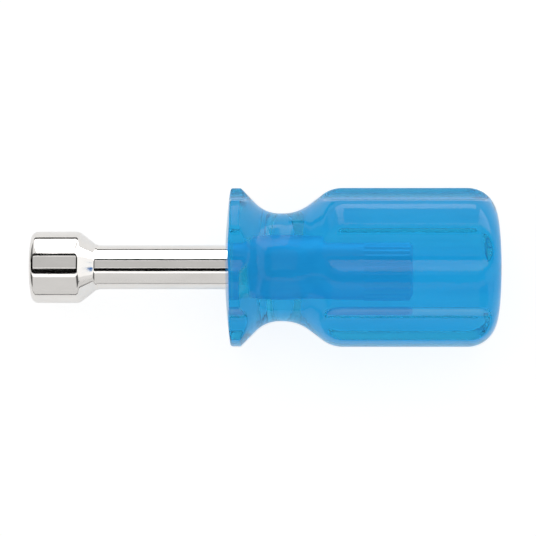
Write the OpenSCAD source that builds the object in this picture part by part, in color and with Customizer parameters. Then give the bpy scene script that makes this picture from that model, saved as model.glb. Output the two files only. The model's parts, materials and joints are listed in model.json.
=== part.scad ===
// Stubby hollow-shaft nut driver: a hexagon socket on a steel tube that is pressed into a fluted handle.
// The tool lies along X with its mouth towards -X, one flute straight down and the ground at Z = 0.

/* [Overall] */
// Length from the mouth of the socket to the front rim of the handle
shank_l = 38; // [30:0.5:120]
// Length of the handle from its front rim to its flat rear face
handle_l = 50.9; // [47:0.1:110]

/* [Socket] */
// Size of the nut across flats
hex_af = 9.525; // [5.5:0.025:10.5]
// Play across flats between the nut and the hexagon
hex_play = 0.1; // [0.04:0.01:0.3]
// Depth of the hexagon from the mouth
hex_depth = 8; // [4:0.1:8.6]
// Outside diameter of the socket's barrel
socket_d = 13.7; // [13:0.1:18]
// Length of the straight barrel
barrel_l = 9.05; // [8:0.05:20]
// Length of the cone that runs down to the shaft
cone_l = 3.2; // [2.5:0.05:8]
// Radius of the hollow where the cone runs out on its lip
foot_r = 0.9; // [0.3:0.1:1]
// Length of the lip behind the cone
lip_l = 0.35; // [0.35:0.05:1]
// Height of the lip above the shaft
lip_h = 0.15; // [0.1:0.05:0.5]
// Rounding of the mouth's outer edge
mouth_round = 1.1; // [0.3:0.05:1.1]
// Depth of the lead-in cone on the hexagon's corners
lead_in = 0.8; // [0.4:0.05:1.5]
// Rounding between barrel and cone
barrel_round = 1.4; // [0.2:0.1:2]
// Depth of the rear seat that takes the tube
seat_depth = 3.6; // [2:0.1:3.7]

/* [Shaft] */
// Outside diameter of the tube
shaft_d = 8.4; // [7.6:0.1:10]
// Bore of the tube
shaft_bore_d = 6.6; // [4.5:0.1:7]
// Depth to which the tube enters the handle, from its front rim
insert_l = 34.6; // [20:0.1:40]
// Length of the splined rear end
spline_l = 9.4; // [5:0.1:14]
// Height of the splines above the tube, and depth of the grooves between them
spline_h = 0.12; // [0.1:0.02:0.4]
// Number of splines round the tube
spline_count = 20; // [12:1:32]
// Chamfer on the rear end of the tube
tail_chamfer = 0.6; // [0.2:0.05:0.8]

/* [Handle] */
// Diameter of the grip over its lands
grip_d = 30.5; // [27:0.1:40]
// Diameter of the front flange over its lands
flange_d = 30.4; // [27:0.1:40]
// Diameter of the neck
neck_d = 20.7; // [15:0.1:23]
// Height of the crown on the front face
face_crown = 1; // [0.2:0.05:1.5]
// Rounding between the front face and the rim of the flange
rim_round = 0.5; // [0.2:0.05:0.8]
// Width of the flange's rim, with its rounding
rim_w = 2; // [1:0.1:4]
// Length of the straight land on the neck
neck_land = 0.6; // [0.5:0.1:8]
// Radius of the hollow between flange and neck
neck_front_r = 6.4; // [3:0.1:8]
// Radius of the hollow between neck and shoulder
neck_rear_r = 8.4; // [4:0.05:10]
// Radius of the shoulder where it joins the grip
shoulder_r = 6.5; // [3:0.1:8]
// Slope of the rear side of a flange as wide as the bar, in degrees
flare_angle = 46; // [35:1:60]
// Slope of the shoulder, in degrees
shoulder_angle = 37; // [30:1:55]
// Rounding of the butt
butt_round = 5.5; // [2:0.1:8]

/* [Flutes] */
// Number of flutes round the handle
flute_count = 6; // [4:1:8]
// Radius of a flute's hollow
flute_r = 10.5; // [7:0.1:20]
// Depth of a flute under the lands of the grip
flute_depth = 1.57; // [0.8:0.01:2]

/* [Fits] */
// Gap all round between tube and handle, and at the tube's rear end
press_gap = 0.02; // [0.01:0.01:0.1]
// Gap all round between tube and socket, filled with braze
braze_gap = 0.03; // [0.01:0.01:0.1]
// Play round the bore where it passes the web behind the hexagon
web_play = 0.3; // [0.1:0.05:0.6]

/* [Hidden] */
$fn = 96;

// Steps in each arc of a turned outline
arc_steps = 12;
// Overrun of every cut past the face that it opens
cut_over = 1;

// Lengths along the axis, from the mouth
overall_l = shank_l + handle_l;
cone_end = barrel_l + cone_l;
socket_l = cone_end + lip_l;
shaft_start = socket_l - seat_depth + braze_gap;
shaft_end = shank_l + insert_l;
spline_start = shaft_end - spline_l;
bore_end = shaft_end + press_gap;
face_apex = shank_l - face_crown;

// Radii
socket_r = socket_d / 2;
cone_end_r = shaft_d / 2 + lip_h;
hex_flat_r = (hex_af + hex_play) / 2;
hex_corner_r = hex_flat_r / cos(30);
lead_in_slope = (hex_corner_r - hex_flat_r) / lead_in;
shaft_r = shaft_d / 2;
spline_r = shaft_r + spline_h;
groove_r = shaft_r - spline_h;
grip_r = grip_d / 2;
flange_r = flange_d / 2;
neck_r = neck_d / 2;

// Place of a flute's hollow, and the height of the axis over the ground when a flute faces down
flute_floor_r = grip_r - flute_depth;
flute_axis_r = flute_floor_r + flute_r;
axis_h = max(land_edge_h(grip_r), land_edge_h(flange_r));

// Neck, placed so that a flange as wide as the fluted bar has the full slope on its rear side
bar_r = max(grip_r, flange_r);
rim_end = shank_l + rim_w;
flare_drop = bar_r - neck_r - neck_front_r * (1 - cos(flare_angle));
neck_start = rim_end + flare_drop / tan(flare_angle) + neck_front_r * sin(flare_angle);
neck_end = neck_start + neck_land;

// Slope of the line from the flange's rim that just touches the hollow between flange and neck
flare_reach = [neck_r + neck_front_r - flange_r, neck_start - rim_end];
flare_slope = atan2(flare_reach.y, flare_reach.x) - acos(neck_front_r / norm(flare_reach));

// Shoulder, in order from the neck
slope_rise = grip_r - neck_r - (neck_rear_r + shoulder_r) * (1 - cos(shoulder_angle));
grip_start = neck_end + (neck_rear_r + shoulder_r) * sin(shoulder_angle) + slope_rise / tan(shoulder_angle);

// Crown of the front face, and its rounding into the rim
crown_edge_r = flange_r - rim_round;
crown_r = (crown_edge_r ^ 2 + face_crown ^ 2) / (2 * face_crown);
crown_angle = asin(crown_edge_r / crown_r);

// Cone's slope, and the roundings at its two ends that turn through it
cone_angle = atan((socket_r - cone_end_r) / cone_l);
barrel_tangent = barrel_round * tan(cone_angle / 2);
foot_tangent = foot_r * tan(cone_angle / 2);

// Distance from the axis to the line on which the two edges of a flute lie, for lands of a given radius
function land_edge_h(land_r) = (flute_axis_r ^ 2 + land_r ^ 2 - flute_r ^ 2) / (2 * flute_axis_r);

// Points of an arc about [r, z], from one angle to another; angle 0 points away from the axis
function arc(centre, radius, from, to) =
    [for (i = [0:arc_steps]) let (a = from + (to - from) * i / arc_steps)
        centre + radius * [cos(a), sin(a)]];

// Turns a tool that stands on its mouth so that it lies along X, centred, on the ground
module lay_down() {
    translate([-overall_l / 2, 0, axis_h]) rotate([0, 90, 0]) children();
}

// Outline of the handle as turned, from the front face to the flat butt
module handle_outline() {
    polygon(concat(
        arc([0, face_apex + crown_r], crown_r, -90, -90 + crown_angle),
        arc([flange_r - rim_round, shank_l + rim_round], rim_round, -90, 0),
        [[flange_r, rim_end]],
        arc([neck_r + neck_front_r, neck_start], neck_front_r, 180 + flare_slope, 180),
        arc([neck_r + neck_rear_r, neck_end], neck_rear_r, 180, 180 - shoulder_angle),
        arc([grip_r - shoulder_r, grip_start], shoulder_r, -shoulder_angle, 0),
        arc([grip_r - butt_round, overall_l - butt_round], butt_round, 0, 90),
        [[0, overall_l]]
    ));
}

// Section of the splined end, grown by a gap for the bore that holds it
module spline_section(gap) {
    pitch = 360 / spline_count;
    polygon([for (i = [0:2 * spline_count - 1])
        let (radius = (i % 2 == 0 ? spline_r : groove_r) + gap)
        radius * [cos(i * pitch / 2), sin(i * pitch / 2)]]);
}

// Handle: turned from fluted bar, with a blind bore that the tube is pressed into
module handle() {
    color([0.13, 0.56, 0.82]) lay_down() difference() {
        rotate_extrude() handle_outline();
        for (i = [0:flute_count - 1]) rotate(i * 360 / flute_count)
            translate([flute_axis_r, 0, face_apex - cut_over])
                cylinder(r = flute_r, h = overall_l - face_apex + 2 * cut_over);
        translate([0, 0, face_apex - cut_over])
            cylinder(r = shaft_r + press_gap, h = bore_end - face_apex + cut_over);
        translate([0, 0, spline_start - press_gap])
            linear_extrude(bore_end - spline_start + press_gap) spline_section(press_gap);
    }
}

// Shaft: a tube with a splined and chamfered rear end
module shaft() {
    color([0.80, 0.81, 0.83]) lay_down() difference() {
        union() {
            translate([0, 0, shaft_start]) cylinder(r = shaft_r, h = spline_start - shaft_start);
            translate([0, 0, spline_start]) linear_extrude(spline_l) spline_section(0);
        }
        translate([0, 0, shaft_start - cut_over])
            cylinder(r = shaft_bore_d / 2, h = shaft_end - shaft_start + 2 * cut_over);
        rotate_extrude() polygon([
            [spline_r - tail_chamfer - cut_over, shaft_end + cut_over],
            [spline_r + cut_over, shaft_end + cut_over],
            [spline_r + cut_over, shaft_end - tail_chamfer - cut_over]
        ]);
    }
}

// Outline of the socket as turned: rounded mouth, barrel, cone and rear lip
module socket_outline() {
    polygon(concat(
        [[0, 0]],
        arc([socket_r - mouth_round, mouth_round], mouth_round, -90, 0),
        arc([socket_r - barrel_round, barrel_l - barrel_tangent], barrel_round, 0, cone_angle),
        arc([cone_end_r + foot_r, cone_end + foot_tangent], foot_r, 180 + cone_angle, 180),
        [[cone_end_r, socket_l], [0, socket_l]]
    ));
}

// Socket: hexagon in front, a web that the nut stops on, and the seat of the tube behind
module socket() {
    color([0.82, 0.83, 0.85]) lay_down() difference() {
        rotate_extrude() socket_outline();
        translate([0, 0, -cut_over]) rotate(30)
            cylinder(r = hex_corner_r, h = hex_depth + cut_over, $fn = 6);
        translate([0, 0, -cut_over])
            cylinder(r1 = hex_corner_r + lead_in_slope * cut_over, r2 = 2 * hex_flat_r - hex_corner_r,
                h = 2 * lead_in + cut_over);
        cylinder(r = shaft_bore_d / 2 + web_play, h = socket_l);
        translate([0, 0, socket_l - seat_depth])
            cylinder(r = shaft_r + braze_gap, h = seat_depth + cut_over);
    }
}

handle();
shaft();
socket();
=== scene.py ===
import json
import math

import bmesh
import bpy
import numpy as np
from mathutils import Matrix, Vector


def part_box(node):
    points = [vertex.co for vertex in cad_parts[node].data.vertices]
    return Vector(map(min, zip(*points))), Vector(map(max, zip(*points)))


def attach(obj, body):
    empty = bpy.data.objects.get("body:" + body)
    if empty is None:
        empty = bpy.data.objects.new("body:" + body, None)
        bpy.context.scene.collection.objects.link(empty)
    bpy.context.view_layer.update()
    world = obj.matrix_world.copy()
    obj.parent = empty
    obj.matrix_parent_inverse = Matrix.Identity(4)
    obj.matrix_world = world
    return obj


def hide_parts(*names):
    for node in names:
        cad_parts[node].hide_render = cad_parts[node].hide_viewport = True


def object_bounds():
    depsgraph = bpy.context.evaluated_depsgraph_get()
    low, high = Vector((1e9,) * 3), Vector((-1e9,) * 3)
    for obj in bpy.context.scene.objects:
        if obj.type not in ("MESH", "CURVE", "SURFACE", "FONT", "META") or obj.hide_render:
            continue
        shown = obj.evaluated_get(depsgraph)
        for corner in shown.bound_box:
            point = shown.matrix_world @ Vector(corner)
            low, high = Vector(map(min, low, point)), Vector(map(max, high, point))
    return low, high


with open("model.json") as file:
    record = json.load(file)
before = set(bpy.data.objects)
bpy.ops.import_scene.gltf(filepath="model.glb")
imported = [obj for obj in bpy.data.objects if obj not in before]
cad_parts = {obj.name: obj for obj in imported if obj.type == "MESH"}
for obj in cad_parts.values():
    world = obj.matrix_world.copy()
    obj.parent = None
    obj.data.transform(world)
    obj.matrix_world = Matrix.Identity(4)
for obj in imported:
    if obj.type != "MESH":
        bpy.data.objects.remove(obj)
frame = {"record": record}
cad_low, cad_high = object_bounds()

# Sizes are in millimetres, and stations run along the tool's axis from the mouth of the socket
MM = 0.001
MOUTH_X = cad_low.x
OVERALL = (cad_high.x - cad_low.x) / MM
BORE_MOUNT = next(m for m in frame["record"]["mounts"] if m["name"] == "shaft_bore")
AXIS_Z = BORE_MOUNT["pos_m"][2]

# Socket
SOCKET_R = (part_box("socket")[1].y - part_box("socket")[0].y) / 2 / MM
SOCKET_END = (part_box("socket")[1].x - MOUTH_X) / MM
BARREL_L = 9.05
CONE_END = 12.25
FOOT_R = 0.9
LIP_R = 4.35
MOUTH_ROUND = 1.1
MOUTH_INNER_EDGE = 0.15
BARREL_ROUND = 1.4
HEX_FLAT_R = 4.8125
HEX_CORNER_R = HEX_FLAT_R / math.cos(math.pi / 6)
HEX_CORNER_EASE = 0.12
HEX_DEPTH = 8.0
LEAD_IN = 0.8
WEB_HOLE_R = 3.6
SEAT_START = 9.0
SEAT_EASE = 0.02

# Shaft
SHAFT_R = 4.2
SHAFT_BORE_R = BORE_MOUNT["dims"]["r_mm"]
SHAFT_START = (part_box("shaft")[0].x - MOUTH_X) / MM
SHAFT_END = (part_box("shaft")[1].x - MOUTH_X) / MM
SPLINE_L = 9.4
SPLINE_START = SHAFT_END - SPLINE_L
SPLINE_H = 0.12
SPLINE_COUNT = 20
SPLINE_FADE = 0.5
TAIL_CHAMFER = 0.6
END_EDGE = 0.15

# Handle
RIM_START = 38.0
RIM_W = 2.0
RIM_ROUND = 0.5
RIM_REAR_ROUND = 0.35
FACE_CROWN = 1.0
FLANGE_R = 15.2
CROWN_R = ((FLANGE_R - RIM_ROUND) ** 2 + FACE_CROWN**2) / (2 * FACE_CROWN)
GRIP_R = (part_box("handle")[1].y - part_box("handle")[0].y) / 2 / MM
NECK_R = 10.35
NECK_LAND = 0.6
NECK_FRONT_R = 6.4
NECK_REAR_R = 8.4
SHOULDER_R = 6.5
FLARE_ANGLE = 46
SHOULDER_ANGLE = 37
BUTT_ROUND = 5.5
# The plastic closes on the tube by this much, so that no gap shows between them
PRESS = 0.01
BORE_R = SHAFT_R - PRESS
BORE_END = SHAFT_END - PRESS

# Flutes of the handle
FLUTE_COUNT = 6
FLUTE_R = 10.5
FLUTE_DEPTH = 1.57
FLUTE_FLOOR_R = GRIP_R - FLUTE_DEPTH
FLUTE_AXIS_R = FLUTE_FLOOR_R + FLUTE_R
FLUTE_EDGE_EASE = 0.55
FLUTE_TIP_ANGLE = 3.0

# Mesh fineness
FLUTE_STEPS = 12
LAND_STEPS = 11
GATHER = 1.8
SHAFT_STEPS = SPLINE_COUNT * 12
SOCKET_STEPS = 192
EDGE_STEPS = 4
SOCKET_ARC_STEPS = 10
BARREL_STEPS = 12
CONE_STEPS = 8
SEAT_STEPS = 5
WEB_STEPS = 3
HEX_STEPS = 9
LEAD_IN_STEPS = 11
TUBE_STEPS = 47
TUBE_BORE_STEPS = 23
SPLINE_STEPS = 7
TAIL_STEPS = 5
HANDLE_SPLINE_STEPS = 5
HANDLE_BORE_STEPS = 11
FACE_STEPS = 12
RIM_STEPS = 6
RIM_REAR_STEPS = 5
FLARE_STEPS = 14
NECK_STEPS = 18
SLOPE_STEPS = 6
SHOULDER_STEPS = 24
GRIP_STEPS = 18
BUTT_STEPS = 36
BUTT_FACE_STEPS = 8
SPLINE_RISE = (0.25, 0.5, 0.75, 1)
BORE_FLOOR_SHARES = (0.3, 0.6, 0.8, 0.95)
SHARP_ANGLE = 35

# Stretches of a noise that are spread over a whole range of looks
MIDDLE_NOISE = (0.3, 0.7)
MARKS_NOISE = (0.45, 0.75)
GRAIN_NOISE = (0.3, 0.75)

# Clear plastic; the scales of all grains are in cycles a metre along X, Y and Z
PLASTIC_DEEP = (0.018, 0.39, 0.735)
PLASTIC_PALE = (0.026, 0.45, 0.785)
PLASTIC_CLEARNESS = 0.97
PLASTIC_IOR = 1.48
PLASTIC_GLOSS_TINT = (0.35, 0.17, 0.1, 1)
PLASTIC_SHADE = (0.42, 0.76, 0.92, 1)
PLASTIC_ROUGHNESS = (0.015, 0.09)
FLOW_SCALE = (60, 420, 420)
DRAWN_SCALE = (25, 2600, 2600)
DRAWN_HEIGHT = 0.0008
MARKS_SCALE = (900, 5200, 5200)
PEEL_SCALE = (330, 330, 330)
PEEL_HEIGHT = 0.01

# Plated steel, and the length that is buried in the handle: rougher, and painted a darker blue as painted
# shade for the dim blue light it gets inside the plastic
PLATE_BRIGHT = (0.94, 0.915, 0.885)
PLATE_DIM = (0.88, 0.855, 0.825)
PLATE_ROUGHNESS = (0.05, 0.13)
BURIED_PAINTED_SHADE = (0.46, 0.71, 0.91)
BURIED_ROUGHNESS = 0.4
TARNISH_SCALE = (160, 300, 300)
GRAIN_SCALE = (300, 7000, 7000)
TURNING_SCALE = (9000, 120, 120)
TURNING_HEIGHT = 0.0006
WAVE_SCALE = (140, 500, 500)
WAVE_HEIGHT = 0.01

# Floor: its tone, and the lift that makes it white to the camera, in reflections and through the plastic
FLOOR_REACH = 3.0
PAPER_TONE = 0.55
PAPER_TONE_SEEN = 0.3
PAPER_TONE_MIRRORED = 0.35
LIFT_SEEN = 0.85
LIFT_MIRRORED = 0.3
LIFT_THROUGH = 0.61
AMBIENT = 0.6

# Soft boxes, in metres and degrees; their foot is a little brighter than the rest
SOFTBOX_DISTANCE = 0.6
SOFTBOX_FOOT = (0.08, 0.25)
SOFTBOX_GLOW = (2.6, 2.2)
KEY_SIDE = 0.8
KEY_HEIGHT = 0.9
KEY_BACK = 0.25
KEY_LEVEL = 0.55
SHEET_LIFT = 0.2

# Camera, as the photograph was taken
CAMERA_ELEVATION = 76.85
CAMERA_SWING = 0.57
CAMERA_DISTANCE = 383.5
CAMERA_AIM_X = 0.75
CAMERA_AIM_DROP = 0.136
CAMERA_LENS = 134.3
CAMERA_SENSOR = 36.0
CAMERA_CLIP = 10.0

# Bounces that light needs to pass through the fluted handle and back
ALL_BOUNCES = 24
GLOSSY_BOUNCES = 16


def arc(station, radius, size, start, end, steps):
    """Points on a circle about (station, radius); 0 degrees points along the axis and 90 away from it."""
    turns = np.radians(np.linspace(start, end, steps + 1))
    return [(station + size * math.cos(a), radius + size * math.sin(a)) for a in turns]


def line(start, end, steps):
    """Points from start to end, both included."""
    return [tuple(p) for p in np.linspace(start, end, steps + 1)]


def after_first(start, end, steps):
    """Stations from start to end in even steps, without the first."""
    return np.linspace(start, end, steps + 1)[1:]


def soft_min(a, b, ease):
    """The lower of a and b, rounded where they cross."""
    near = np.clip(ease - np.abs(a - b), 0, None) / ease
    return np.minimum(a, b) - near * near * ease / 4


def soft_max(a, b, ease):
    """The higher of a and b, rounded where they cross."""
    return -soft_min(-a, -b, ease)


def ring(stations, radii, angles):
    """Points round the axis in metres; angle 0 is straight up."""
    stations = np.broadcast_to(stations, angles.shape)
    radii = np.broadcast_to(radii, angles.shape)
    return np.column_stack([
        MOUTH_X + stations * MM,
        radii * np.sin(angles) * MM,
        AXIS_Z + radii * np.cos(angles) * MM,
    ])


def turned(outline, angles):
    """A ring for each (station, radius) of an outline."""
    return [ring(station, radius, angles) for station, radius in outline]


def straight(stations, radius, angles):
    """Rings of one radius at each station."""
    return [ring(station, radius, angles) for station in stations]


def ring_faces(rings, looped):
    """Faces between neighbouring rings, as numbers of their points."""
    starts = [int(start) for start in np.cumsum([0] + [len(r) for r in rings])]
    pairs = list(zip(range(len(rings) - 1), range(1, len(rings))))
    if looped:
        pairs.append((len(rings) - 1, 0))
    faces = []
    for a, b in pairs:
        count = max(len(rings[a]), len(rings[b]))
        for i in range(count):
            j = (i + 1) % count
            if len(rings[a]) == 1:
                faces.append((starts[a], starts[b] + i, starts[b] + j))
            elif len(rings[b]) == 1:
                faces.append((starts[a] + i, starts[b], starts[a] + j))
            else:
                faces.append((starts[a] + i, starts[b] + i, starts[b] + j, starts[a] + j))
    return faces


def place(name, data):
    """A new object in the scene."""
    made = bpy.data.objects.new(name, data)
    bpy.context.scene.collection.objects.link(made)
    return made


def ring_solid(name, rings, looped):
    """A closed mesh through the rings. Looped joins the last ring to the first; one point is a pole."""
    mesh = bpy.data.meshes.new(name)
    mesh.from_pydata(np.concatenate(rings).tolist(), [], ring_faces(rings, looped))
    shaped = bmesh.new()
    shaped.from_mesh(mesh)
    bmesh.ops.recalc_face_normals(shaped, faces=shaped.faces)
    shaped.to_mesh(mesh)
    shaped.free()
    mesh.shade_smooth()
    mesh.set_sharp_from_angle(angle=math.radians(SHARP_ANGLE))
    return place(name, mesh)


def flute_edge(land_r):
    """Angle from a flute's middle to its edge on a land of that radius, with a least value for the tips."""
    if land_r <= FLUTE_FLOOR_R:
        return FLUTE_TIP_ANGLE
    reach = (FLUTE_AXIS_R**2 + land_r**2 - FLUTE_R**2) / (2 * FLUTE_AXIS_R * land_r)
    return max(FLUTE_TIP_ANGLE, math.degrees(math.acos(min(1, reach))))


def fluted_angles(land_r):
    """Angles round the handle, gathered at the edges of the flutes for a land of that radius."""
    sector = 360 / FLUTE_COUNT
    edge = flute_edge(land_r)
    in_flute = edge * (1 - (1 - np.linspace(0, 1, FLUTE_STEPS + 1)) ** GATHER)
    on_land = edge + (sector / 2 - edge) * after_first(0, 1, LAND_STEPS) ** GATHER
    half = np.concatenate([in_flute, on_land])
    whole = np.concatenate([half, sector - half[-2:0:-1]])
    turns = [whole + sector * i for i in range(FLUTE_COUNT)]
    return np.radians(np.concatenate(turns))


def flute_radius(angles):
    """Distance from the axis to the hollow of the nearest flute, far away where there is none."""
    sector = 2 * math.pi / FLUTE_COUNT
    off = (angles + sector / 2) % sector - sector / 2
    aside = FLUTE_AXIS_R * np.sin(off)
    inside = np.abs(aside) < FLUTE_R
    depth = np.sqrt(np.clip(FLUTE_R**2 - aside**2, 0, None))
    return np.where(inside, FLUTE_AXIS_R * np.cos(off) - depth, 2 * GRIP_R)


def splined(angles, share=1.0):
    """Radius of the shaft's splined end, where share says how far the splines have risen."""
    return SHAFT_R + share * SPLINE_H * np.cos(SPLINE_COUNT * angles)


def tail(angles, station):
    """Radius of the splined end where the chamfer on its rear edge cuts it."""
    cone = SHAFT_R + SPLINE_H - TAIL_CHAMFER + SHAFT_END - station
    return soft_min(splined(angles), np.full_like(angles, cone), END_EDGE)


def crown(radius):
    """Station of the crowned front face at that distance from the axis."""
    return RIM_START - FACE_CROWN + CROWN_R - np.sqrt(CROWN_R**2 - radius**2)


def neck_stations():
    """Where the neck starts and ends, and where the grip starts."""
    flare = math.radians(FLARE_ANGLE)
    drop = GRIP_R - NECK_R - NECK_FRONT_R * (1 - math.cos(flare))
    neck_start = RIM_START + RIM_W + drop / math.tan(flare) + NECK_FRONT_R * math.sin(flare)
    neck_end = neck_start + NECK_LAND
    slope = math.radians(SHOULDER_ANGLE)
    both = NECK_REAR_R + SHOULDER_R
    rise = GRIP_R - NECK_R - both * (1 - math.cos(slope))
    return neck_start, neck_end, neck_end + both * math.sin(slope) + rise / math.tan(slope)


def handle_side():
    """Outline of the handle as turned, from the rear edge of the rim to the middle of the butt."""
    neck_start, neck_end, grip_start = neck_stations()
    bend = math.tan(math.radians(FLARE_ANGLE) / 2) * RIM_REAR_ROUND
    rim_edge = RIM_START + RIM_W - bend
    rim_rear = arc(rim_edge, FLANGE_R - RIM_REAR_ROUND, RIM_REAR_ROUND, 90, 90 - FLARE_ANGLE, RIM_REAR_STEPS)
    hollow = arc(neck_start, NECK_R + NECK_FRONT_R, NECK_FRONT_R, 270 - FLARE_ANGLE, 270, NECK_STEPS)
    rear_hollow = arc(neck_end, NECK_R + NECK_REAR_R, NECK_REAR_R, 270, 270 + SHOULDER_ANGLE, NECK_STEPS)
    shoulder = arc(grip_start, GRIP_R - SHOULDER_R, SHOULDER_R, 90 + SHOULDER_ANGLE, 90, SHOULDER_STEPS)
    butt = arc(OVERALL - BUTT_ROUND, GRIP_R - BUTT_ROUND, BUTT_ROUND, 90, 0, BUTT_STEPS)
    return (
        rim_rear
        + line(rim_rear[-1], hollow[0], FLARE_STEPS)[1:-1]
        + hollow
        + rear_hollow
        + line(rear_hollow[-1], shoulder[0], SLOPE_STEPS)[1:-1]
        + shoulder
        + line(shoulder[-1], butt[0], GRIP_STEPS)[1:-1]
        + butt
        + line(butt[-1], (OVERALL, 0), BUTT_FACE_STEPS)[1:-1]
    )


def bore_rings(angles):
    """The handle's blind bore, from the middle of its floor to the front face."""
    rings = [ring(BORE_END, 0, angles[:1])]
    rings += [ring(BORE_END, tail(angles, SHAFT_END) * share, angles) for share in BORE_FLOOR_SHARES]
    for station in np.linspace(SHAFT_END, SHAFT_END - TAIL_CHAMFER, TAIL_STEPS + 1):
        rings.append(ring(station - PRESS, tail(angles, station) - PRESS, angles))
    rise_end = SPLINE_START + SPLINE_FADE
    stations = after_first(BORE_END - TAIL_CHAMFER, rise_end, HANDLE_SPLINE_STEPS)
    rings += straight(stations, splined(angles) - PRESS, angles)
    for share in (*SPLINE_RISE[-2::-1], 0):
        rings.append(ring(SPLINE_START + SPLINE_FADE * share, splined(angles, share) - PRESS, angles))
    return rings + straight(after_first(SPLINE_START, crown(BORE_R), HANDLE_BORE_STEPS), BORE_R, angles)


def face_rings(angles):
    """The handle's crowned front face, and the rounding into its scalloped rim."""
    edge = soft_min(FLANGE_R, flute_radius(angles), FLUTE_EDGE_EASE) - RIM_ROUND
    rings = []
    for share in after_first(0, 1, FACE_STEPS):
        radius = BORE_R + (edge - BORE_R) * share
        rings.append(ring(crown(radius), radius, angles))
    for turn in np.radians(after_first(0, 90, RIM_STEPS)):
        station = crown(edge) + RIM_ROUND * (1 - math.cos(turn))
        rings.append(ring(station, edge + RIM_ROUND * math.sin(turn), angles))
    return rings


def side_rings():
    """The handle's flange, neck, fluted grip and butt."""
    rings = []
    for station, radius in handle_side():
        angles = fluted_angles(radius)
        rings.append(ring(station, soft_min(radius, flute_radius(angles), FLUTE_EDGE_EASE), angles))
    return rings + [ring(OVERALL, 0, np.zeros(1))]


def make_handle():
    """The clear handle: blind bore, crowned front face, scalloped rim, neck, fluted grip and butt."""
    angles = fluted_angles(FLANGE_R)
    return ring_solid("handle_body", bore_rings(angles) + face_rings(angles) + side_rings(), looped=False)


def make_shaft():
    """The tube: eased front end, plain length, splined and chamfered rear end, and a bore right through."""
    angles = np.linspace(0, 2 * math.pi, SHAFT_STEPS, endpoint=False)
    front, rear = SHAFT_START + END_EDGE, SHAFT_END - END_EDGE
    tail_start, rise_end = SHAFT_END - TAIL_CHAMFER, SPLINE_START + SPLINE_FADE
    inner_edge_r = SHAFT_BORE_R + END_EDGE
    rings = turned(arc(front, SHAFT_R - END_EDGE, END_EDGE, 180, 90, EDGE_STEPS), angles)
    rings += straight(after_first(front, SPLINE_START, TUBE_STEPS), SHAFT_R, angles)
    for share in SPLINE_RISE:
        rings.append(ring(SPLINE_START + SPLINE_FADE * share, splined(angles, share), angles))
    rings += straight(after_first(rise_end, tail_start, SPLINE_STEPS), splined(angles), angles)
    for station in after_first(tail_start, SHAFT_END, TAIL_STEPS):
        rings.append(ring(station, tail(angles, station), angles))
    rings.append(ring(SHAFT_END, inner_edge_r, angles))
    rings += turned(arc(rear, inner_edge_r, END_EDGE, 0, -90, EDGE_STEPS)[1:], angles)
    rings += straight(after_first(rear, front, TUBE_BORE_STEPS), SHAFT_BORE_R, angles)
    rings += turned(arc(front, inner_edge_r, END_EDGE, 270, 180, EDGE_STEPS)[1:], angles)
    return ring_solid("shaft_tube", rings, looped=True)


def hexagon(angles):
    """Distance from the axis to the hexagon's wall; a flat faces straight up and the corners are eased."""
    side = math.pi / 3
    off = (angles + side / 2) % side - side / 2
    return soft_min(HEX_FLAT_R / np.cos(off), HEX_FLAT_R / math.cos(side / 2), HEX_CORNER_EASE)


def socket_side():
    """Outline of the socket as turned, from the mouth to the rear lip."""
    cone_angle = math.degrees(math.atan((SOCKET_R - LIP_R) / (CONE_END - BARREL_L)))
    bend = math.tan(math.radians(cone_angle) / 2)
    waist_start, foot_end = BARREL_L - BARREL_ROUND * bend, CONE_END + FOOT_R * bend
    mouth = arc(MOUTH_ROUND, SOCKET_R - MOUTH_ROUND, MOUTH_ROUND, 180, 90, SOCKET_ARC_STEPS)
    waist = arc(waist_start, SOCKET_R - BARREL_ROUND, BARREL_ROUND, 90, 90 - cone_angle, SOCKET_ARC_STEPS)
    foot = arc(foot_end, LIP_R + FOOT_R, FOOT_R, 270 - cone_angle, 270, SOCKET_ARC_STEPS)
    barrel = line(mouth[-1], waist[0], BARREL_STEPS)[1:-1]
    cone = line(waist[-1], foot[0], CONE_STEPS)[1:-1]
    return mouth + barrel + waist + cone + foot + [(SOCKET_END, LIP_R)]


def mouth_rings(angles):
    """The hexagon, from the web to the rounded inner edge of the mouth, with its lead-in cone."""
    wall = hexagon(angles)
    lead_slope = (HEX_CORNER_R - HEX_FLAT_R) / LEAD_IN
    rings = [ring(HEX_DEPTH, WEB_HOLE_R + (wall - WEB_HOLE_R) * share, angles) for share in (0.5, 1)]
    rings += straight(after_first(HEX_DEPTH, 2 * LEAD_IN, HEX_STEPS), wall, angles)
    for station in after_first(2 * LEAD_IN, MOUTH_INNER_EDGE, LEAD_IN_STEPS):
        cone = np.full_like(wall, HEX_CORNER_R - lead_slope * station)
        rings.append(ring(station, soft_max(wall, cone, HEX_CORNER_EASE), angles))
    edge_r = HEX_CORNER_R + MOUTH_INNER_EDGE
    return rings + turned(arc(MOUTH_INNER_EDGE, edge_r, MOUTH_INNER_EDGE, 270, 180, EDGE_STEPS)[1:], angles)


def make_socket():
    """The head: hexagon mouth with a lead-in, web, seat for the tube, barrel, cone and rear lip."""
    angles = np.linspace(0, 2 * math.pi, SOCKET_STEPS, endpoint=False)
    rings = turned(socket_side(), angles)
    rings += straight(np.linspace(SOCKET_END, SEAT_START, SEAT_STEPS + 1), SHAFT_R - SEAT_EASE, angles)
    rings += straight(np.linspace(SEAT_START, HEX_DEPTH, WEB_STEPS + 1), WEB_HOLE_R, angles)
    return ring_solid("socket_head", rings + mouth_rings(angles), looped=True)


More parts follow.
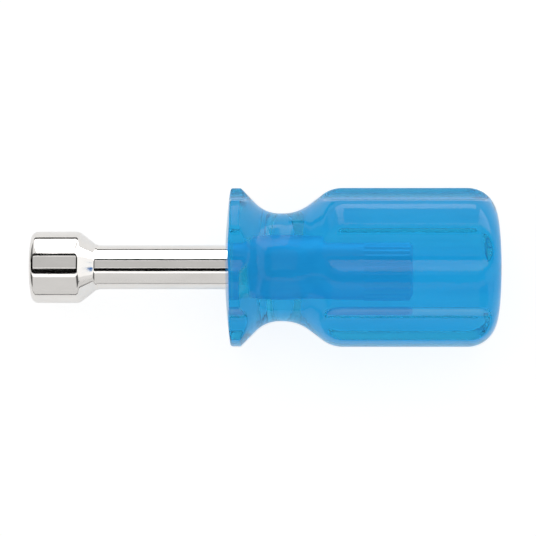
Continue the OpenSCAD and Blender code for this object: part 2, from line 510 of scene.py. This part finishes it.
class Nodes:
    """A node tree with short calls for adding and joining nodes."""

    def __init__(self, tree):
        self.tree = tree
        tree.nodes.clear()

    def add(self, kind, **settings):
        made = self.tree.nodes.new(kind)
        for key, value in settings.items():
            setattr(made, key, value)
        return made

    def join(self, source, target):
        self.tree.links.new(source, target)

    def noise(self, coordinates, scale, detail=2.0, roughness=0.5):
        """Noise whose grain is stretched by a scale for each axis, in cycles a metre."""
        stretch = self.add("ShaderNodeMapping")
        stretch.inputs["Scale"].default_value = scale
        self.join(coordinates, stretch.inputs["Vector"])
        made = self.add("ShaderNodeTexNoise")
        made.inputs["Scale"].default_value = 1.0
        made.inputs["Detail"].default_value = detail
        made.inputs["Roughness"].default_value = roughness
        self.join(stretch.outputs["Vector"], made.inputs["Vector"])
        return made.outputs["Fac"]

    def span(self, value, low, high, to_low, to_high):
        """Maps low..high of a value to to_low..to_high, held at both ends."""
        made = self.add("ShaderNodeMapRange")
        for key, number in zip(("From Min", "From Max", "To Min", "To Max"), (low, high, to_low, to_high)):
            made.inputs[key].default_value = number
        self.join(value, made.inputs["Value"])
        return made.outputs["Result"]

    def maths(self, operation, a, b):
        """The result of an operation on two numbers or sockets."""
        made = self.add("ShaderNodeMath", operation=operation)
        for value, socket in zip((a, b), made.inputs):
            if isinstance(value, (int, float)):
                socket.default_value = value
            else:
                self.join(value, socket)
        return made.outputs["Value"]

    def add_share(self, base, share, amount):
        """Base plus an amount where share is 1."""
        return self.maths("ADD", base, self.maths("MULTIPLY", share, amount))

    def blend(self, share, a, b):
        """Colour a where share is 0 and b where it is 1; each is a colour or a socket."""
        made = self.add("ShaderNodeMix", data_type="RGBA")
        self.join(share, made.inputs["Factor"])
        for value, socket in zip((a, b), (made.inputs[6], made.inputs[7])):
            if isinstance(value, tuple):
                socket.default_value = (*value, 1)
            else:
                self.join(value, socket)
        return made.outputs[2]

    def bump(self, height, distance, onto=None):
        """A normal that follows a height, over another normal if one is given."""
        made = self.add("ShaderNodeBump")
        made.inputs["Distance"].default_value = distance
        self.join(height, made.inputs["Height"])
        if onto is not None:
            self.join(onto, made.inputs["Normal"])
        return made.outputs["Normal"]


def new_material(name):
    """A material with an output, a principled shader and the place on the piece to paint by."""
    material = bpy.data.materials.new(name)
    material.use_nodes = True
    nodes = Nodes(material.node_tree)
    output = nodes.add("ShaderNodeOutputMaterial")
    shader = nodes.add("ShaderNodeBsdfPrincipled")
    coordinates = nodes.add("ShaderNodeTexCoord").outputs["Object"]
    return material, nodes, output, shader, coordinates


def let_light_through(nodes, shader, output):
    """Joins a shader to the output so that its shadow is clear and tinted."""
    light_path = nodes.add("ShaderNodeLightPath")
    passing = nodes.add("ShaderNodeBsdfTransparent")
    passing.inputs["Color"].default_value = PLASTIC_SHADE
    mixed = nodes.add("ShaderNodeMixShader")
    nodes.join(light_path.outputs["Is Shadow Ray"], mixed.inputs[0])
    nodes.join(shader.outputs["BSDF"], mixed.inputs[1])
    nodes.join(passing.outputs["BSDF"], mixed.inputs[2])
    nodes.join(mixed.outputs["Shader"], output.inputs["Surface"])


def clear_blue():
    """Clear blue cellulose plastic, with faint lines along the drawn bar and fine handling marks."""
    material, nodes, output, shader, coordinates = new_material("clear_blue_plastic")
    flow = nodes.noise(coordinates, FLOW_SCALE, detail=3)
    colour = nodes.blend(nodes.span(flow, *MIDDLE_NOISE, 0, 1), PLASTIC_DEEP, PLASTIC_PALE)
    nodes.join(colour, shader.inputs["Base Color"])
    drawn = nodes.noise(coordinates, DRAWN_SCALE, detail=2)
    marks = nodes.noise(coordinates, MARKS_SCALE, detail=4, roughness=0.6)
    nodes.join(nodes.span(marks, *MARKS_NOISE, *PLASTIC_ROUGHNESS), shader.inputs["Roughness"])
    peel = nodes.noise(coordinates, PEEL_SCALE, detail=1)
    surface = nodes.bump(drawn, DRAWN_HEIGHT * MM)
    surface = nodes.bump(peel, PEEL_HEIGHT * MM, surface)
    nodes.join(surface, shader.inputs["Normal"])
    shader.inputs["Transmission Weight"].default_value = PLASTIC_CLEARNESS
    shader.inputs["IOR"].default_value = PLASTIC_IOR
    shader.inputs["Specular Tint"].default_value = PLASTIC_GLOSS_TINT
    let_light_through(nodes, shader, output)
    return material


def plated(name, buried_from=None):
    """Bright nickel and chrome plate: polishing grain, slight waves, and past the given station a rougher
    length painted a darker blue, as painted shade for the light it gets inside the plastic.
    """
    material, nodes, output, shader, coordinates = new_material(name)
    tarnish = nodes.noise(coordinates, TARNISH_SCALE, detail=4)
    colour = nodes.blend(nodes.span(tarnish, *MIDDLE_NOISE, 0, 1), PLATE_BRIGHT, PLATE_DIM)
    grain = nodes.noise(coordinates, GRAIN_SCALE, detail=3)
    rough = nodes.span(grain, *GRAIN_NOISE, *PLATE_ROUGHNESS)
    if buried_from is not None:
        along = nodes.add("ShaderNodeSeparateXYZ")
        nodes.join(coordinates, along.inputs["Vector"])
        start = MOUTH_X + buried_from * MM
        buried_dull_and_shade = nodes.span(along.outputs["X"], start, start + MM, 0, 1)
        rough = nodes.add_share(rough, buried_dull_and_shade, BURIED_ROUGHNESS)
        # Painted shade: past that station the colour turns a darker blue, standing in for the dim blue light
        # inside the plastic; the added roughness is the duller finish of that length
        colour = nodes.blend(buried_dull_and_shade, colour, BURIED_PAINTED_SHADE)
    nodes.join(colour, shader.inputs["Base Color"])
    nodes.join(rough, shader.inputs["Roughness"])
    turning = nodes.noise(coordinates, TURNING_SCALE, detail=2)
    waves = nodes.noise(coordinates, WAVE_SCALE, detail=1)
    surface = nodes.bump(turning, TURNING_HEIGHT * MM)
    surface = nodes.bump(waves, WAVE_HEIGHT * MM, surface)
    nodes.join(surface, shader.inputs["Normal"])
    shader.inputs["Metallic"].default_value = 1.0
    nodes.join(shader.outputs["BSDF"], output.inputs["Surface"])
    return material


def dress(piece, node, material):
    """Puts a piece in its node's place, on the one body, with its finish."""
    piece.data.materials.append(material)
    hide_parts(node)
    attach(piece, "root")


def quad(name, corners, material):
    """A flat stage piece with four corners."""
    mesh = bpy.data.meshes.new(name)
    mesh.from_pydata([tuple(c) for c in corners], [], [(0, 1, 2, 3)])
    mesh.materials.append(material)
    made = place(name, mesh)
    return made


def floor_paper():
    """Pale paper that is white to the camera, shows in steel and plastic, and keeps the soft shadow."""
    material = bpy.data.materials.new("floor_paper")
    material.use_nodes = True
    nodes = Nodes(material.node_tree)
    output = nodes.add("ShaderNodeOutputMaterial")
    light_path = nodes.add("ShaderNodeLightPath")
    seen = light_path.outputs["Is Camera Ray"]
    through = light_path.outputs["Is Transmission Ray"]
    mirrored = nodes.maths("SUBTRACT", light_path.outputs["Is Glossy Ray"], through)
    paper = nodes.add("ShaderNodeBsdfDiffuse")
    tone = nodes.span(seen, 0, 1, PAPER_TONE, PAPER_TONE_SEEN)
    nodes.join(nodes.add_share(tone, mirrored, PAPER_TONE_MIRRORED), paper.inputs["Color"])
    lift = nodes.add("ShaderNodeEmission")
    level = nodes.maths("MULTIPLY", seen, LIFT_SEEN)
    level = nodes.add_share(level, mirrored, LIFT_MIRRORED)
    nodes.join(nodes.add_share(level, through, LIFT_THROUGH), lift.inputs["Strength"])
    shaded = nodes.add("ShaderNodeAddShader")
    nodes.join(paper.outputs["BSDF"], shaded.inputs[0])
    nodes.join(lift.outputs["Emission"], shaded.inputs[1])
    nodes.join(shaded.outputs["Shader"], output.inputs["Surface"])
    return material


def make_floor():
    """A wide pale floor."""
    signs = ((-1, -1), (1, -1), (1, 1), (-1, 1))
    quad("floor", [(x * FLOOR_REACH, y * FLOOR_REACH, 0) for x, y in signs], floor_paper())


def make_world():
    """White to the camera, in reflections and through the plastic; a little dimmer as light."""
    world = bpy.data.worlds.new("studio")
    bpy.context.scene.world = world
    world.use_nodes = True
    nodes = Nodes(world.node_tree)
    output = nodes.add("ShaderNodeOutputWorld")
    background = nodes.add("ShaderNodeBackground")
    rays = nodes.add("ShaderNodeLightPath").outputs
    level = nodes.maths("MAXIMUM", rays["Is Glossy Ray"], rays["Is Transmission Ray"])
    level = nodes.maths("MAXIMUM", level, rays["Is Camera Ray"])
    nodes.join(nodes.maths("MAXIMUM", level, AMBIENT), background.inputs["Strength"])
    nodes.join(background.outputs["Background"], output.inputs["Surface"])


def softbox_glow(data):
    """Makes a soft box a little brighter at its foot."""
    data.use_nodes = True
    nodes = Nodes(data.node_tree)
    glow = nodes.add("ShaderNodeEmission")
    across = nodes.add("ShaderNodeSeparateXYZ")
    nodes.join(nodes.add("ShaderNodeNewGeometry").outputs["Parametric"], across.inputs["Vector"])
    nodes.join(nodes.span(across.outputs["Y"], *SOFTBOX_FOOT, *SOFTBOX_GLOW), glow.inputs["Strength"])
    nodes.join(glow.outputs["Emission"], nodes.add("ShaderNodeOutputLight").inputs["Surface"])


def make_softbox(name, azimuth, half_spread, low, high):
    """An upright soft light behind the tool, from low to high degrees above the floor, for reflections."""
    bottom, top = (SOFTBOX_DISTANCE * math.tan(math.radians(e)) for e in (low, high))
    width = 2 * SOFTBOX_DISTANCE * math.tan(math.radians(half_spread))
    data = bpy.data.lights.new(name, "AREA")
    data.shape = "RECTANGLE"
    data.size = width
    data.size_y = top - bottom
    data.energy = math.pi * width * (top - bottom)
    softbox_glow(data)
    lamp = place(name, data)
    turn = math.radians(azimuth)
    towards = Vector((math.sin(turn), math.cos(turn), 0))
    lamp.location = towards * SOFTBOX_DISTANCE + Vector((0, 0, AXIS_Z + (bottom + top) / 2))
    lamp.rotation_euler = (-towards).to_track_quat("-Z", "Y").to_euler()
    lamp.visible_camera = False
    lamp.visible_diffuse = False
    lamp.visible_transmission = False


def make_key_light():
    """A wide soft light above the tool for its shading and the shadow, which reflections don't show."""
    data = bpy.data.lights.new("key_light", "AREA")
    data.shape = "SQUARE"
    data.size = KEY_SIDE
    data.energy = KEY_LEVEL * math.pi * KEY_HEIGHT**2
    lamp = place("key_light", data)
    lamp.location = (0, KEY_BACK, KEY_HEIGHT)
    lamp.rotation_euler = (-lamp.location).to_track_quat("-Z", "Y").to_euler()
    lamp.visible_camera = False
    lamp.visible_glossy = False
    lamp.visible_transmission = False


def reflected_only(name, corners, level):
    """A glowing quad that neither the camera nor the floor sees."""
    material = bpy.data.materials.new(name)
    material.use_nodes = True
    nodes = Nodes(material.node_tree)
    glow = nodes.add("ShaderNodeEmission")
    glow.inputs["Strength"].default_value = level
    glow.inputs["Color"].default_value = (1, 1, 1, 1)
    nodes.join(glow.outputs["Emission"], nodes.add("ShaderNodeOutputMaterial").inputs["Surface"])
    card = quad(name, corners, material)
    card.visible_camera = False
    card.visible_diffuse = False
    card.visible_transmission = False
    card.visible_shadow = False


def make_card(name, arc_deg, left, right, distance, level):
    """A card over an arc round the tool, counted from the camera, that reaches left and right by angles."""
    start, end = arc_deg
    middle, half = math.radians((start + end) / 2), math.radians((end - start) / 2)
    rise = math.radians(CAMERA_ELEVATION)
    back = Vector((0, -math.cos(rise), math.sin(rise)))
    up = Vector((0, math.sin(rise), math.cos(rise)))
    out = back * math.cos(middle) + up * math.sin(middle)
    along = up * math.cos(middle) - back * math.sin(middle)
    centre = Vector((0, 0, AXIS_Z)) + out * distance
    high = along * distance * math.tan(half)
    to_left = Vector((-distance * math.tan(math.radians(left)), 0, 0))
    to_right = Vector((distance * math.tan(math.radians(right)), 0, 0))
    low_side = [centre + to_left - high, centre + to_right - high]
    reflected_only(name, low_side + [centre + to_right + high, centre + to_left + high], level)


def make_painted_shadow_sheet(name, near, far, half_width, level):
    """A grey sheet just above the floor in front of the tool that only reflections show: painted shadow,
    standing in for the tool's shade on the floor there.
    """
    sides = ((-half_width, -far), (half_width, -far), (half_width, -near), (-half_width, -near))
    reflected_only(name, [Vector((x, y, SHEET_LIFT * MM)) for x, y in sides], level)


def make_wall(name, start, end, low, high, level):
    """An upright card that stands over the line from start to end on the floor."""
    sides = ((*start, low), (*end, low), (*end, high), (*start, high))
    reflected_only(name, [Vector(corner) for corner in sides], level)


def make_camera():
    """The camera at the photograph's place and angle."""
    data = bpy.data.cameras.new("camera")
    data.lens = CAMERA_LENS
    data.sensor_fit = "HORIZONTAL"
    data.sensor_width = CAMERA_SENSOR
    data.clip_start = CAMERA_CLIP * MM
    camera = place("camera", data)
    rise, swing = math.radians(CAMERA_ELEVATION), math.radians(CAMERA_SWING)
    back = Vector((math.sin(swing), -math.cos(rise) * math.cos(swing), math.sin(rise) * math.cos(swing)))
    right = (Vector((1, 0, 0)) - back * back.x).normalized()
    up = back.cross(right)
    aim = Vector((CAMERA_AIM_X * MM, 0, AXIS_Z)) - up * CAMERA_AIM_DROP * MM
    turn = Matrix((right, up, back)).transposed().to_4x4()
    camera.matrix_world = Matrix.Translation(aim + back * CAMERA_DISTANCE * MM) @ turn
    bpy.context.scene.camera = camera


dress(make_handle(), "handle", clear_blue())
dress(make_shaft(), "shaft", plated("plated_tube", buried_from=RIM_START))
dress(make_socket(), "socket", plated("plated_socket"))

make_floor()
make_world()
make_softbox("softbox_left", azimuth=-8, half_spread=9, low=3, high=57)
make_softbox("softbox_high", azimuth=12.5, half_spread=11.5, low=40, high=57)
make_softbox("softbox_right", azimuth=46, half_spread=19, low=3, high=57)
make_key_light()

# Studio cards that only reflections show, in metres and degrees; the two sheets in front of the tool are
# painted shadow on the floor, seen only in reflections
make_card("overhead_frame", arc_deg=(-21, 46), left=78, right=62, distance=0.52, level=0.0)
make_card("overhead_trim", arc_deg=(-4, 37), left=36, right=26, distance=0.5, level=1.0)
make_card("overhead_card", arc_deg=(-1.5, 34.5), left=36, right=26, distance=0.48, level=0.54)
make_card("gap_light", arc_deg=(-31, -21), left=45, right=45, distance=0.5, level=1.3)
make_card("front_frame", arc_deg=(-78, -31), left=78, right=58, distance=0.52, level=0.1)
make_card("front_card", arc_deg=(-78, -31), left=40, right=28, distance=0.5, level=0.68)
make_card("rear_rail", arc_deg=(102, 109), left=45, right=-4, distance=0.08, level=0.0)
make_card("rear_flag", arc_deg=(46, 101), left=80, right=-40, distance=0.5, level=0.15)
# Painted shadow: a grey sheet and a darker strip at its near edge stand in for the tool's shadow on the
# floor in front, as seen in the steel and plastic
make_painted_shadow_sheet("front_shadow_sheet", near=0.054, far=0.52, half_width=0.4, level=0.68)
make_painted_shadow_sheet("front_shadow_edge", near=0.046, far=0.054, half_width=0.4, level=0.05)
make_wall("side_card", start=(0.6, -0.3), end=(0.6, 0.28), low=0.02, high=0.5, level=1.05)
make_wall("rear_strip", start=(0.002, 0.2), end=(0.09, 0.2), low=0.025, high=0.06, level=3.6)

make_camera()
bpy.context.scene.view_settings.view_transform = "Standard"
bpy.context.scene.cycles.max_bounces = ALL_BOUNCES
bpy.context.scene.cycles.glossy_bounces = GLOSSY_BOUNCES
bpy.context.scene.cycles.transmission_bounces = ALL_BOUNCES
